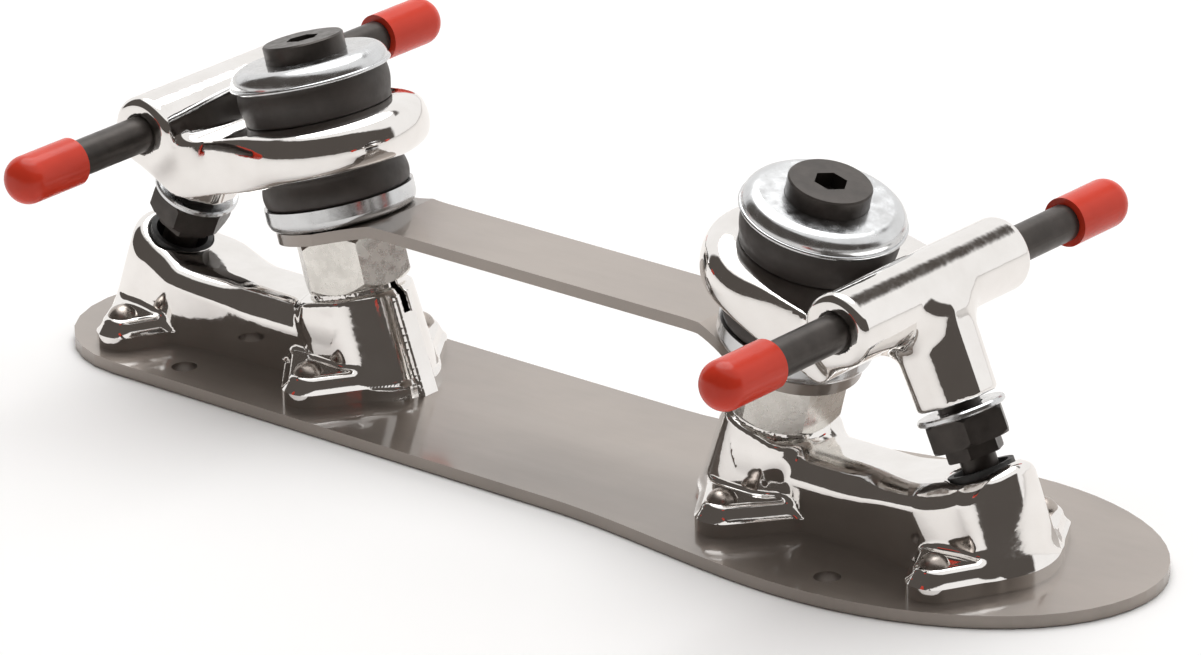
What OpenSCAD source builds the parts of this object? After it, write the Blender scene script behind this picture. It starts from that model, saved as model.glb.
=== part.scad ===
// Quad roller skate plate, lying boot side down: a steel sole plate with two riveted base castings,
// each carrying a cushioned steering truck on a leaning king bolt and a ball pivot. Millimetres.
// The origin is on the boot face at mid-wheelbase, X points to the toe and Z away from the boot.
// The rear end mirrors the front one.

/* [Sole plate] */
// Thickness of the sole plate
plate_t = 2.4; // [1.6:0.1:4]
// Length of the plate behind the rear axle line
heel_over = 34; // [33:1:50]
// Length of the plate ahead of the front axle line
toe_over = 45; // [36:1:60]
// Half width of the heel and waist
heel_half = 24; // [23:0.5:30]
// Sideways offset of the heel and waist
heel_y = -1; // [-2:0.1:2]
// Widest half width of the straighter side
ball_near = 30; // [27:0.2:36]
// Widest half width of the flared side
ball_far = 37.4; // [32:0.2:46]
// Where the straighter side is widest, behind the front axle line
ball_near_in = 11; // [0:1:24]
// Where the flared side is widest, ahead of the front axle line
ball_far_out = 3; // [-14:1:10]
// Where the straighter side starts to widen
waist_near_x = 16; // [0:1:40]
// Where the flared side starts to widen
waist_far_x = 9; // [0:1:40]
// Sideways offset of the tip of the toe
tip_y = 7.5; // [0:0.5:12]

/* [Boot bolts] */
// Diameter of the boot bolt holes
boot_hole_d = 5; // [3:0.1:6]
// Heel bolt holes ahead of the rear axle line
heel_hole_in = 3; // [-1:0.1:10]
// Heel bolt holes from the centre line
heel_hole_y = 18.5; // [15:0.1:20]
// Ball bolt holes behind the front axle line
ball_hole_in = 4; // [1:0.1:10]
// Ball bolt holes from the centre line
ball_hole_y = 22.2; // [15:0.1:23]

/* [Bases] */
// Height of the four feet above the plate
foot_h = 5.6; // [4:0.1:8]
// Radius of a foot around its rivet
foot_r = 5.2; // [4.8:0.1:6]
// Radius of the feet's rounded rim
foot_round = 1.6; // [0.8:0.1:2]
// Length of the inner feet's tails along the ridge
inner_tail = 14; // [8:0.5:16]
// Length of the outer feet's tails round the end
outer_tail = 9.5; // [6:0.5:10]
// How far the outer feet reach along the wall towards mid-wheelbase
outer_lead = 4; // [1:0.5:5]
// Where the outer feet's tails end, from the centre line
outer_tail_y = 11; // [9:0.5:12]
// Inner rivets from the axle line
rivet_in = 33.2; // [31:0.1:35]
// Outer rivets from the axle line
rivet_out = 15.4; // [12:0.1:17]
// Rivets from the centre line
rivet_y = 16; // [15:0.1:17]
// Diameter of the rivet shanks
rivet_d = 4; // [3:0.1:4.6]
// Diameter of the rivet domes
rivet_dome_d = 5.8; // [5.2:0.1:7]
// Height of the rivet domes
rivet_dome_h = 2; // [1.2:0.1:2.6]
// Height of the ridge above the plate
ridge_h = 14.4; // [12:0.1:16]
// Half width of the ridge
ridge_half = 9; // [8:0.1:10]
// Radius of the ridge's round shoulders
ridge_round = 6; // [4:0.1:7]
// Where the ridge starts to widen towards the pivot boss, outside the axle line
widen_at = 0; // [-3:0.5:2]
// Length over which it widens
widen_l = 6; // [4:0.5:8]
// Half width of the walls behind the outer rivets
wall_half = 11.3; // [10.6:0.1:11.8]
// Radius of the king bolt boss at its top
king_boss_r = 10; // [9.4:0.1:10.6]
// Growth of the king bolt boss's radius down to the plate
king_boss_flare = 2.2; // [1:0.1:2.4]
// Radius of the king bolt boss's rounded upper edge
king_boss_round = 1; // [0.6:0.1:1.6]
// Radius of the boss's two square corners beside the ridge
king_corner_r = 3.6; // [2.4:0.1:5]
// How far those corners stand out from the bolt's axis
king_corner_out = 9; // [7:0.1:10]
// Radius of the upright wall round the foot of the king bolt boss
king_foot_r = 11.4; // [10:0.1:12]
// Radius of the collar that the king nut sits on
king_collar_r = 9; // [8:0.1:9.2]
// Height of that collar
king_collar_h = 1.2; // [0.6:0.1:2]
// Width of the slit in the inner side of the boss
slit_w = 1.7; // [1:0.1:2.6]
// Depth of the slit below the nut seat
slit_h = 6.3; // [4:0.1:9]
// Width of the raised pad round the slit
pad_w = 4.4; // [3:0.1:6]
// How far the pad stands out of the boss
pad_out = 0.6; // [0.4:0.1:1.2]
// Radius of the pivot boss at its mouth
pivot_boss_r = 9.2; // [8.8:0.1:9.8]
// Growth of the pivot boss's radius down to the plate
pivot_boss_flare = 1.4; // [1:0.1:2.4]
// Radius of the pivot boss's rounded mouth edge
pivot_boss_round = 1.6; // [0.8:0.1:2]
// Height of the upright wall round the outer end
skirt_h = 3.1; // [2:0.1:5]
// Radius of the hollow from that wall up to the pivot boss
skirt_r = 6; // [4:0.1:7]
// Outer end of the bases from the axle line
base_out = 28; // [26.5:0.1:29]
// How far the outer face leans in from there up to the mouth
base_end_lean = 3.5; // [2:0.1:4]
// Radius of the bases' outer end, seen from above
base_end_r = 16; // [13:0.5:20]

/* [King bolts] */
// Lean of the king bolts away from mid-wheelbase
bolt_lean = 15; // [13:0.5:17]
// Where the king bolt meets the nut seat, from the axle line
seat_in = 32.5; // [31:0.1:34]
// Height of the nut seat above the plate
seat_h = 18.8; // [17.6:0.1:20]
// Diameter of the king bolt
bolt_d = 9.5; // [8:0.1:10]
// Depth of the king bolt in its base
bolt_depth = 15; // [10:0.5:16]
// Diameter of the bolt head
head_d = 15.7; // [14:0.1:17]
// Height of the bolt head
head_h = 4.65; // [4:0.05:7]
// Width across flats of the socket in the head
socket_af = 5.6; // [5:0.1:7]
// Depth of that socket
socket_depth = 3; // [2:0.1:3.4]
// Width across flats of the king nut
nut_af = 19.4; // [18:0.1:21]
// Height of the king nut
nut_h = 10.9; // [9:0.1:12]
// Chamfer of the king nut's corners
nut_chamfer = 1.5; // [0.4:0.1:2]
// Turn of the front king nut's corners
front_nut_turn = 30; // [0:1:60]
// Turn of the rear king nut's corners
rear_nut_turn = 40; // [0:1:60]

/* [Strap] */
// Thickness of the strap
strap_t = 2.3; // [1.5:0.1:3]
// Half width of the strap's middle
strap_half = 9; // [7:0.1:10.5]
// Radius of the strap's round ends
strap_end_r = 13.3; // [12:0.1:14]
// Radius of the hollow curves that lead into the round ends
strap_flare_r = 30; // [20:1:40]
// Distance from the bolt axis to the bend
strap_bend = 15.1; // [14.5:0.1:18]

/* [Cushions and cup washers] */
// Radius of the upper cup washer's rounded edge
upper_cup_round = 1.6; // [1:0.1:2]
// Radius of the lower cup washer's rounded edge
lower_cup_round = 2; // [1:0.1:2.4]
// Thickness of the cup washers' sheet
cup_t = 1.5; // [1:0.1:2]
// Outside radius of the upper cup washer
upper_cup_r = 15.7; // [15:0.1:16.2]
// Height of the upper cup washer
upper_cup_h = 2.6; // [2.2:0.1:3.4]
// Outside radius of the lower cup washer's rim
lower_cup_r = 14.6; // [14:0.1:15.5]
// Height of the lower cup washer
lower_cup_h = 4.5; // [3.5:0.1:5]
// Free height of the upper cushion between washer and truck
upper_cushion_gap = 7; // [6:0.1:8]
// Free height of the lower cushion between washer and truck
lower_cushion_gap = 5.7; // [5:0.1:7]
// Radius of the upper cushion's bulge
upper_cushion_r = 14.8; // [14:0.1:15]
// Radius of the lower cushion's bulge
lower_cushion_r = 14.3; // [13.6:0.1:14.5]
// Radius of the cushions' rounded edge at the truck
cushion_round = 1.9; // [1:0.1:2.4]

/* [Trucks] */
// Distance between the axles
wheelbase = 168; // [164:0.5:172]
// Height of the axles above the plate
axle_h = 48.9; // [47.7:0.1:50.2]
// Thickness of the truck's ring and tongue
ring_t = 10.7; // [9.5:0.1:11.5]
// Outside radius of the ring
ring_r = 20.2; // [19:0.1:21]
// Radius of the round flank of ring and tongue
flank_r = 8; // [6.5:0.1:10]
// Diameter of the hole in the ring
ring_bore_d = 14; // [12.5:0.1:15]
// Diameter of the axle barrel
barrel_d = 14; // [13:0.1:15]
// Length of the axle barrel
barrel_l = 49.4; // [46:0.1:54]
// Radius of the barrel's rounded ends
barrel_round = 1.8; // [0.6:0.1:2.4]
// Width across flats of the eight-sided pivot leg at its end
leg_af = 15; // [13.5:0.1:16]
// Width across flats of the pivot leg at the barrel
leg_top_af = 17.4; // [16:0.1:19]
// Length of the pivot leg from the axle to its end
leg_l = 20.6; // [19:0.1:21.4]

/* [Axles and caps] */
// Diameter of the axles where the wheel bearings run
axle_d = 7; // [5:0.5:8]
// Diameter of the axle's thicker middle, held in the barrel
axle_mid_d = 7.6; // [7.5:0.1:9]
// Length of each bare bearing seat beside the barrel
axle_seat_l = 18.3; // [12:0.1:30]
// Length of the axle's threaded ends under the caps
axle_thread_l = 12.3; // [8:0.1:16]
// How much thinner the threaded ends are
axle_thread_step = 0.4; // [0.4:0.05:0.8]
// Outside diameter of the axle caps
cap_d = 9.4; // [9:0.1:12]
// Thickness of the closed end of the caps
cap_end_t = 3.6; // [1.5:0.1:5]
// Radius of the caps' rounded tips
cap_tip_r = 4; // [2:0.1:4.2]

/* [Pivots] */
// Ball centre of the pivot from the axle line
pivot_out = 16.2; // [14.5:0.1:17.5]
// Ball centre of the pivot above the plate
pivot_h = 13; // [12.4:0.1:14.2]
// Distance from the ball centre to the base's mouth
mouth_l = 6; // [5.4:0.1:6.6]
// Radius of the ball on the pivot pin
ball_r = 4.2; // [3.8:0.1:4.6]
// Radius of the pivot pin's neck
neck_r = 3.4; // [2.8:0.1:3.6]
// Radius of the pivot pin's threaded stud
stud_r = 4; // [3.4:0.1:4.6]
// Depth of the stud in the leg
stud_depth = 9; // [6:0.5:11]
// Width across flats of the pin's wrench hex
pin_hex_af = 9.6; // [8:0.1:10.5]
// Height of the pin's wrench hex
pin_hex_h = 2.5; // [1.5:0.1:3]
// Width across flats of the jam nut
jam_af = 14; // [12.5:0.1:15]
// Height of the jam nut
jam_h = 5.4; // [4.5:0.1:5.8]
// Chamfer of the jam nut's corners
jam_chamfer = 0.8; // [0.4:0.1:1.2]
// Turn of the jam nut's corners
jam_turn = 10; // [0:1:60]
// Space between the leg's end and the jam nut
washer_room = 2.6; // [2.2:0.1:3]
// Radius of the loose washer
washer_r = 8.3; // [7.5:0.1:9]
// Thickness of the loose washer
washer_t = 1.2; // [0.8:0.1:1.4]
// Outside radius of the pivot cup
cup_r = 6.2; // [5.9:0.1:6.6]

/* [Hidden] */
$fn = 64;

// Clearances: a shaft in its hole, a soft piece beside its neighbour
fit_gap = 0.05;
soft_gap = 0.3;
// Edge break on turned pieces, a finer one, and length by which a cut runs past its face
edge = 0.6;
fine_edge = 0.3;
past = 1;
// Steps of each curved stretch of the plate's outline
outline_steps = 14;

// Places along X that follow the axle line
axle_x = wheelbase / 2;
heel_end = axle_x + heel_over;
toe_end = axle_x + toe_over;
ball_near_x = axle_x - ball_near_in;
ball_far_x = axle_x + ball_far_out;
heel_hole_x = axle_x - heel_hole_in;
ball_hole_x = axle_x - ball_hole_in;
rivet_in_x = axle_x - rivet_in;
rivet_out_x = axle_x + rivet_out;
base_end = axle_x + base_out;
seat_x = axle_x - seat_in;
pivot_x = axle_x + pivot_out;

// Colours
chrome = [0.84, 0.84, 0.86];
brushed = [0.66, 0.63, 0.59];
zinc = [0.76, 0.77, 0.79];
satin = [0.72, 0.71, 0.68];
oxide = [0.15, 0.13, 0.12];
rubber = [0.2, 0.17, 0.15];
vinyl = [0.8, 0.16, 0.11];

// Heights along the king bolt, from the nut seat up
strap_z = nut_h;
lower_cup_z = strap_z + strap_t;
lower_cushion_z = lower_cup_z + cup_t;
ring_low_z = lower_cup_z + lower_cup_h + lower_cushion_gap;
ring_mid_z = ring_low_z + ring_t / 2;
ring_top_z = ring_low_z + ring_t;
upper_cup_z = ring_top_z + upper_cushion_gap;
head_z = upper_cup_z + upper_cup_h;

// Points of the front end in the XZ plane: nut seat, ring centre, axle and pivot ball
seat = [seat_x, plate_t + seat_h];
ring_mid = seat + ring_mid_z * [sin(bolt_lean), cos(bolt_lean)];
axle = [axle_x, plate_t + axle_h];
ball = [pivot_x, plate_t + pivot_h];

// The pivot pin points from its ball at the axle
pivot_lean = atan2(ball.x - axle.x, axle.y - ball.y);
pivot_l = norm(axle - ball);
leg_end_l = pivot_l - leg_l;
jam_z = leg_end_l - washer_room - jam_h;

// The axle as seen from the ring's centre: along the tongue, and square to it
to_axle = axle - ring_mid;
axle_along = to_axle.x * cos(bolt_lean) - to_axle.y * sin(bolt_lean);
axle_rise = to_axle.x * sin(bolt_lean) + to_axle.y * cos(bolt_lean);
barrel_r = barrel_d / 2;
// The tongue's own round end lies this deep inside the barrel
web_bury = 0.5;
web_end_r = barrel_r - web_bury;
// Hollow that blends the tongue's top into the barrel: it starts under the upper cushion's edge,
// and is as round as it can be while it just cuts into the barrel
hollow_along = upper_cushion_r - cushion_round - soft_gap;
hollow_run = axle_along - hollow_along;
hollow_step = axle_rise - ring_t / 2;
hollow_stop = barrel_r - web_bury / 3;
hollow_r = (pow(hollow_run, 2) + pow(hollow_step, 2) - pow(hollow_stop, 2))
    / (2 * (hollow_stop + hollow_step));
hollow_rise = ring_t / 2 + hollow_r;

// Ends of the axle's seat, thread and cap, from the centre line
seat_end = barrel_l / 2 + axle_seat_l;
axle_end = seat_end + axle_thread_l;
thread_r = axle_d / 2 - axle_thread_step / 2;
cap_rim = seat_end + soft_gap;
cap_tip = axle_end + soft_gap + cap_end_t;

// Heights of the feet's and the ridge's tops
foot_z = plate_t + foot_h;
ridge_z = plate_t + ridge_h;
// Lengths of the two bosses from their tops to below the plate's face
king_reach = seat_h / cos(bolt_lean) + king_boss_r;
pivot_reach = (pivot_h + mouth_l) / cos(pivot_lean) + pivot_boss_r;
// Depth of the pivot cup below the ball's centre, with its floor
cup_floor = 1.6;
cup_depth = ball_r + cup_floor;

// Corner radius of a hexagon of a given width across flats
function hex_r(af) = af / (2 * cos(30));
// Smooth step from 0 to 1
function ease(t) = t * t * (3 - 2 * t);

// Side of the plate between waist and ball, from x0 to x1
function flare(x0, x1, w0, w1) =
    [for (i = [0 : outline_steps]) let (t = i / outline_steps)
        [x0 + (x1 - x0) * t, w0 + (w1 - w0) * ease(t)]];
// Quarter of an ellipse about a centre, between two angles
function quarter(centre, rx, ry, a0, a1) =
    [for (i = [0 : outline_steps]) let (a = a0 + (a1 - a0) * i / outline_steps)
        centre + [rx * cos(a), ry * sin(a)]];

// Places its children on the front end, or mirrored on the rear one
module at_end(front) {
    if (front) children();
    else mirror([1, 0, 0]) children();
}
// Places its children at a height along the front king bolt, Z along the bolt
module on_bolt(h) {
    translate([seat.x, 0, seat.y]) rotate([0, bolt_lean, 0]) translate([0, 0, h]) children();
}
// Places its children on the front pivot, origin at the ball and Z towards the axle
module on_pivot(h) {
    translate([ball.x, 0, ball.y]) rotate([0, -pivot_lean, 0]) translate([0, 0, h]) children();
}
// Places its children on the front axle, Z outwards on the chosen side
module on_axle(side) {
    translate([axle.x, 0, axle.y]) rotate([-90 * side, 0, 0]) children();
}
// Places its children at the four rivets of the front end
module at_rivets() {
    for (x = [rivet_in_x, rivet_out_x]) for (y = [-rivet_y, rivet_y]) translate([x, y, 0]) children();
}
// Turned disc with both edges broken
module turned(r, h, e = edge) {
    rotate_extrude() polygon([[0, 0], [r - e, 0], [r, e], [r, h - e], [r - e, h], [0, h]]);
}
// Bar with both edges rounded
module rounded_bar(r, h, round_r) {
    rotate_extrude() {
        square([r - round_r, h]);
        translate([0, round_r]) square([r, h - 2 * round_r]);
        for (z = [round_r, h - round_r]) translate([r - round_r, z]) circle(r = round_r);
    }
}
// Hexagon prism with its corners chamfered at both ends
module hexagon(af, h, chamfer) {
    intersection() {
        cylinder(r = hex_r(af), h = h, $fn = 6);
        turned(hex_r(af) + fit_gap, h, chamfer);
    }
}

// Foot-shaped outline of the sole plate, counter-clockwise from the heel
module plate_outline() {
    heel = quarter([heel_half - heel_end, heel_y], heel_half, heel_half, 90, 270);
    near = flare(waist_near_x, ball_near_x, heel_y - heel_half, -ball_near);
    toe_near = quarter([ball_near_x, tip_y], toe_end - ball_near_x, ball_near + tip_y, -90, 0);
    toe_far = quarter([ball_far_x, tip_y], toe_end - ball_far_x, ball_far - tip_y, 0, 90);
    far = flare(ball_far_x, waist_far_x, ball_far, heel_y + heel_half);
    polygon(concat(heel, near, toe_near, toe_far, far));
}
module sole_plate() {
    color(brushed) difference() {
        linear_extrude(plate_t) plate_outline();
        for (y = [-1, 1]) {
            translate([-heel_hole_x, y * heel_hole_y, -past])
                cylinder(d = boot_hole_d, h = plate_t + 2 * past);
            translate([ball_hole_x, y * ball_hole_y, -past])
                cylinder(d = boot_hole_d, h = plate_t + 2 * past);
        }
        for (front = [true, false]) at_end(front) at_rivets() {
            translate([0, 0, -past]) cylinder(d = rivet_d + 2 * fit_gap, h = plate_t + 2 * past);
            rivet_sink(fit_gap);
        }
    }
}
// Cone of a rivet's flush tail, or of its countersink when grown by a gap
module rivet_sink(gap) {
    sink_h = plate_t / 2;
    cylinder(r1 = rivet_d / 2 + sink_h + gap, r2 = rivet_d / 2 + gap, h = sink_h);
}
// Four domed rivets that hold one base to the plate
module rivets() {
    dome_r = (pow(rivet_dome_d / 2, 2) + pow(rivet_dome_h, 2)) / (2 * rivet_dome_h);
    color(satin) at_rivets() {
        translate([0, 0, fit_gap]) rivet_sink(0);
        translate([0, 0, fit_gap]) cylinder(d = rivet_d, h = foot_z - fit_gap);
        intersection() {
            translate([0, 0, foot_z + rivet_dome_h - dome_r]) sphere(r = dome_r);
            translate([0, 0, foot_z]) cylinder(r = dome_r, h = rivet_dome_h);
        }
    }
}

// One foot: a lobe round the rivet that runs back to the wall at tail_y, wider there by a lead and a tail,
// with a rounded rim
module foot(x, lead, tail, tail_y) {
    // The rim's rounding goes up in this many steps
    steps = 3;
    translate([0, 0, plate_t]) hull() for (i = [0 : steps]) {
        turn = 90 * i / steps;
        inset = foot_round * (1 - cos(turn));
        linear_extrude(foot_h - foot_round * (1 - sin(turn))) {
            translate([x, rivet_y]) circle(r = foot_r - inset, $fn = 32);
            translate([x - foot_r - lead + inset, 0]) square([foot_r + lead + tail - 2 * inset, tail_y]);
        }
    }
}
module feet() {
    for (side = [0, 1]) mirror([0, side, 0]) {
        foot(rivet_in_x, 0, inner_tail, ridge_half - edge);
        foot(rivet_out_x, outer_lead, outer_tail, outer_tail_y);
    }
}
// Upright wall round the outer end, with a hollow that leads up to the pivot boss
module end_skirt() {
    high = skirt_h + skirt_r;
    translate([base_end - base_end_r, 0, plate_t]) rotate([0, 0, -90]) rotate_extrude(angle = 180)
        difference() {
            square([base_end_r, high]);
            translate([base_end_r, high]) circle(r = skirt_r);
        }
}
// Length of the casting's bar with a flat top and round shoulders, from x on
module bar(x, length, half) {
    translate([x, 0, plate_t]) rotate([90, 0, 90]) linear_extrude(length)
        for (side = [0, 1]) mirror([side, 0]) {
            square([half, ridge_h - ridge_round]);
            square([half - ridge_round, ridge_h]);
            translate([half - ridge_round, ridge_h - ridge_round]) circle(r = ridge_round);
        }
}
// Round boss that widens downwards, with a rounded upper edge, from its lower end up
module boss(top_r, flare, h, round_r) {
    rotate_extrude() {
        polygon([
            [0, 0], [top_r + flare, 0], [top_r, h - round_r],
            [top_r - round_r, h - round_r], [top_r - round_r, h], [0, h]
        ]);
        translate([top_r - round_r, h - round_r]) circle(r = round_r);
    }
}
// Leaning boss for the king bolt: round on its inner side, square beside the ridge, with an upright wall
// round its foot, the collar under the nut and the pad round the slit
module king_boss() {
    top = -king_collar_h;
    pad_top = top - 2 * edge;
    pad_in = king_boss_r / 2;
    corner = [king_corner_out - king_corner_r, king_boss_r - king_corner_r];
    on_bolt(-king_reach) hull() {
        boss(king_boss_r, king_boss_flare, king_reach + top, king_boss_round, $fn = 48);
        for (y = [-1, 1]) translate([corner.x, y * corner.y, 0])
            boss(king_corner_r, king_boss_flare, king_reach + top, king_boss_round, $fn = 32);
    }
    on_bolt(top - past) cylinder(r = king_collar_r, h = king_collar_h + past);
    translate([seat.x - seat_h * tan(bolt_lean), 0, plate_t]) turned(king_foot_r, foot_h);
    on_bolt(0) rotate([90, 0, 0]) linear_extrude(pad_w, center = true) polygon([
        [-pad_in, pad_top], [-king_boss_r - pad_out, pad_top],
        [-king_boss_r - king_boss_flare - pad_out, -king_reach], [-pad_in, -king_reach]
    ]);
}
// Leaning boss for the pivot cup, which the ridge widens into
module pivot_boss() {
    widen_x = axle_x + widen_at;
    slice = 0.5;
    intersection() {
        hull() {
            bar(widen_x, slice, ridge_half, $fn = 48);
            bar(widen_x + widen_l, slice, wall_half, $fn = 48);
            on_pivot(mouth_l - pivot_reach)
                boss(pivot_boss_r, pivot_boss_flare, pivot_reach, pivot_boss_round, $fn = 48);
        }
        rotate([90, 0, 0]) linear_extrude(4 * rivet_y, center = true) pivot_side();
        linear_extrude(3 * ridge_z) base_plan();
    }
}
// Space that the pivot boss may fill, seen from the side: level over the ridge, then along the mouth,
// upright at the outer end, then leaning in
module pivot_side() {
    mouth = ball + mouth_l * [-sin(pivot_lean), cos(pivot_lean)];
    rise = tan(pivot_lean);
    lean = base_end_lean / (mouth.y - foot_z);
    level_end = mouth.x - (mouth.y - ridge_z) / rise;
    // Where the line along the mouth meets the leaning end
    top_x = (base_end - lean * (ridge_z - rise * level_end - foot_z)) / (1 + lean * rise);
    polygon([
        [0, plate_t], [base_end, plate_t], [base_end, foot_z],
        [top_x, ridge_z + rise * (top_x - level_end)], [level_end, ridge_z], [0, ridge_z]
    ]);
}
// Space that the pivot boss may fill, seen from above: round at the outer end
module base_plan() {
    straight = base_end - base_end_r;
    translate([straight, 0]) circle(r = base_end_r, $fn = 128);
    translate([0, -2 * rivet_y]) square([straight, 4 * rivet_y]);
}
module base() {
    color(chrome) difference() {
        union() {
            feet();
            end_skirt();
            bar(seat_x, pivot_x - seat_x, ridge_half);
            intersection() {
                king_boss();
                translate([0, -2 * rivet_y, plate_t]) cube([axle_x, 4 * rivet_y, 2 * seat_h]);
            }
            pivot_boss();
        }
        at_rivets() cylinder(d = rivet_d + 2 * fit_gap, h = foot_z + past);
        on_bolt(-bolt_depth - past) cylinder(d = bolt_d + 2 * fit_gap, h = bolt_depth + 2 * past);
        on_bolt(-slit_h) translate([-2 * king_boss_r, -slit_w / 2, 0])
            cube([2 * king_boss_r, slit_w, slit_h + past]);
        on_pivot(-cup_depth - fit_gap) cylinder(r = cup_r + fit_gap, h = cup_depth + mouth_l + past);
    }
}

// Strap seen from the side: a level middle with both ends bent square to the king bolts
module strap_side() {
    bend = seat + (strap_z + strap_t) * [sin(bolt_lean), cos(bolt_lean)]
        + strap_bend * [-cos(bolt_lean), sin(bolt_lean)];
    // The end's level face meets the middle's along the line that halves the bend
    inner = bend + strap_t * [-tan(bolt_lean / 2), -1];
    end_dir = [cos(bolt_lean), -sin(bolt_lean)];
    run = strap_bend + strap_end_r;
    polygon(concat(
        [[-bend.x, bend.y], bend, bend + run * end_dir, inner + (run + 2 * strap_t) * end_dir, inner],
        [[-inner.x, inner.y], [-inner.x, inner.y] - (run + 2 * strap_t) * [cos(bolt_lean), sin(bolt_lean)],
            [-bend.x, bend.y] - run * [cos(bolt_lean), sin(bolt_lean)]]
    ));
}
// Strap seen from above, without its round ends: parallel sides with hollow curves into the ends
module strap_top(end_x) {
    start = sqrt(pow(strap_end_r + strap_flare_r, 2) - pow(strap_half + strap_flare_r, 2));
    difference() {
        translate([-end_x, -strap_end_r]) square([2 * end_x, 2 * strap_end_r]);
        for (y = [-1, 1]) {
            for (x = [-1, 1]) translate([x * (end_x - start), y * (strap_half + strap_flare_r)])
                circle(r = strap_flare_r);
            translate([start - end_x, y > 0 ? strap_half : -strap_half - strap_flare_r])
                square([2 * (end_x - start), strap_flare_r]);
        }
    }
}
module brace_strap() {
    strap_mid = strap_z + strap_t / 2;
    end_x = seat.x + strap_mid * sin(bolt_lean);
    tall = 4 * strap_end_r;
    color(brushed) difference() {
        intersection() {
            rotate([90, 0, 0]) linear_extrude(4 * strap_end_r, center = true) strap_side();
            union() {
                linear_extrude(3 * seat.y) strap_top(end_x);
                for (front = [true, false]) at_end(front) on_bolt(strap_z - tall / 2)
                    cylinder(r = strap_end_r, h = tall);
            }
        }
        for (front = [true, false]) at_end(front) on_bolt(strap_z - tall / 2)
            cylinder(d = bolt_d + 2 * fit_gap, h = tall);
    }
}

module king_bolt() {
    shank_r = bolt_d / 2;
    head_r = head_d / 2;
    color(oxide) difference() {
        union() {
            on_bolt(-bolt_depth) turned(shank_r, head_z + bolt_depth + past);
            on_bolt(head_z) turned(head_r, head_h, fine_edge);
        }
        on_bolt(head_z + head_h - socket_depth)
            cylinder(r = hex_r(socket_af), h = socket_depth + past, $fn = 6);
    }
}
module king_nut(turn) {
    color(satin) on_bolt(0) difference() {
        rotate([0, 0, turn]) hexagon(nut_af, nut_h, nut_chamfer);
        translate([0, 0, -past]) cylinder(d = bolt_d + 2 * fit_gap, h = nut_h + 2 * past);
    }
}
// Upper cup washer, its rim turned down over the cushion
module upper_retainer() {
    round_r = upper_cup_round;
    color(zinc) on_bolt(upper_cup_z) difference() {
        rotate_extrude() {
            square([upper_cup_r - round_r, upper_cup_h]);
            square([upper_cup_r, upper_cup_h - round_r]);
            translate([upper_cup_r - round_r, upper_cup_h - round_r]) circle(r = round_r);
        }
        translate([0, 0, -past]) cylinder(r = upper_cup_r - cup_t / 2, h = upper_cup_h - cup_t + past);
        cylinder(d = bolt_d + 2 * fit_gap, h = upper_cup_h + past);
    }
}
// Lower cup washer, its rim turned up round the cushion
module lower_retainer() {
    round_r = lower_cup_round;
    color(zinc) on_bolt(lower_cup_z) difference() {
        rotate_extrude() {
            square([lower_cup_r - round_r, lower_cup_h]);
            translate([0, round_r]) square([lower_cup_r, lower_cup_h - round_r]);
            translate([lower_cup_r - round_r, round_r]) circle(r = round_r);
        }
        translate([0, 0, cup_t]) cylinder(r = lower_cup_r - cup_t / 2, h = lower_cup_h);
        translate([0, 0, -past]) cylinder(d = bolt_d + 2 * fit_gap, h = lower_cup_h);
    }
}
// Half section of a cushion's free part: bulged sides, and a rounded edge where it meets the truck
module bulge_section(r, h) {
    side_r = 3 * h;
    intersection() {
        union() {
            square([r - cushion_round, h]);
            square([r, h - cushion_round]);
            translate([r - cushion_round, h - cushion_round]) circle(r = cushion_round);
        }
        union() {
            translate([r - side_r, h / 2]) circle(r = side_r, $fn = 180);
            square([r / 2, h]);
        }
    }
}
// Rubber cushion: a straight spigot in its cup, then a bulge that meets the truck
module cushion(cup_inside_r, spigot_h, bulge_r, bulge_h) {
    difference() {
        union() {
            cylinder(r = cup_inside_r - soft_gap, h = spigot_h + edge);
            translate([0, 0, spigot_h]) rotate_extrude() bulge_section(bulge_r, bulge_h);
        }
        translate([0, 0, -past]) cylinder(r = bolt_d / 2 + soft_gap, h = spigot_h + bulge_h + 2 * past);
    }
}
module upper_cushion() {
    color(rubber) on_bolt(upper_cup_z + upper_cup_h - cup_t) mirror([0, 0, 1])
        cushion(upper_cup_r - cup_t / 2, upper_cup_h - cup_t,
            upper_cushion_r, upper_cushion_gap - soft_gap);
}
module lower_cushion() {
    color(rubber) on_bolt(lower_cushion_z)
        cushion(lower_cup_r - cup_t / 2, lower_cup_h - cup_t,
            lower_cushion_r, lower_cushion_gap - soft_gap);
}

// Half section of the ring, with a round flank
module ring_section() {
    intersection() {
        translate([0, -ring_t / 2]) square([ring_r, ring_t]);
        union() {
            translate([ring_r - flank_r, 0]) circle(r = flank_r);
            translate([0, -ring_t / 2]) square([ring_r - flank_r, ring_t]);
        }
    }
}
// What the hollow between the tongue's top and the barrel takes away, seen from the side
module hollow_section() {
    high = axle_rise + 3 * barrel_r;
    difference() {
        union() {
            translate([hollow_along, hollow_rise]) circle(r = hollow_r);
            polygon([
                [axle_along, axle_rise], [hollow_along, hollow_rise], [hollow_along, ring_t / 2],
                [-2 * ring_r, ring_t / 2], [-2 * ring_r, high], [axle_along, high]
            ]);
        }
        translate([axle_along, axle_rise]) circle(r = web_end_r);
    }
}
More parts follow.
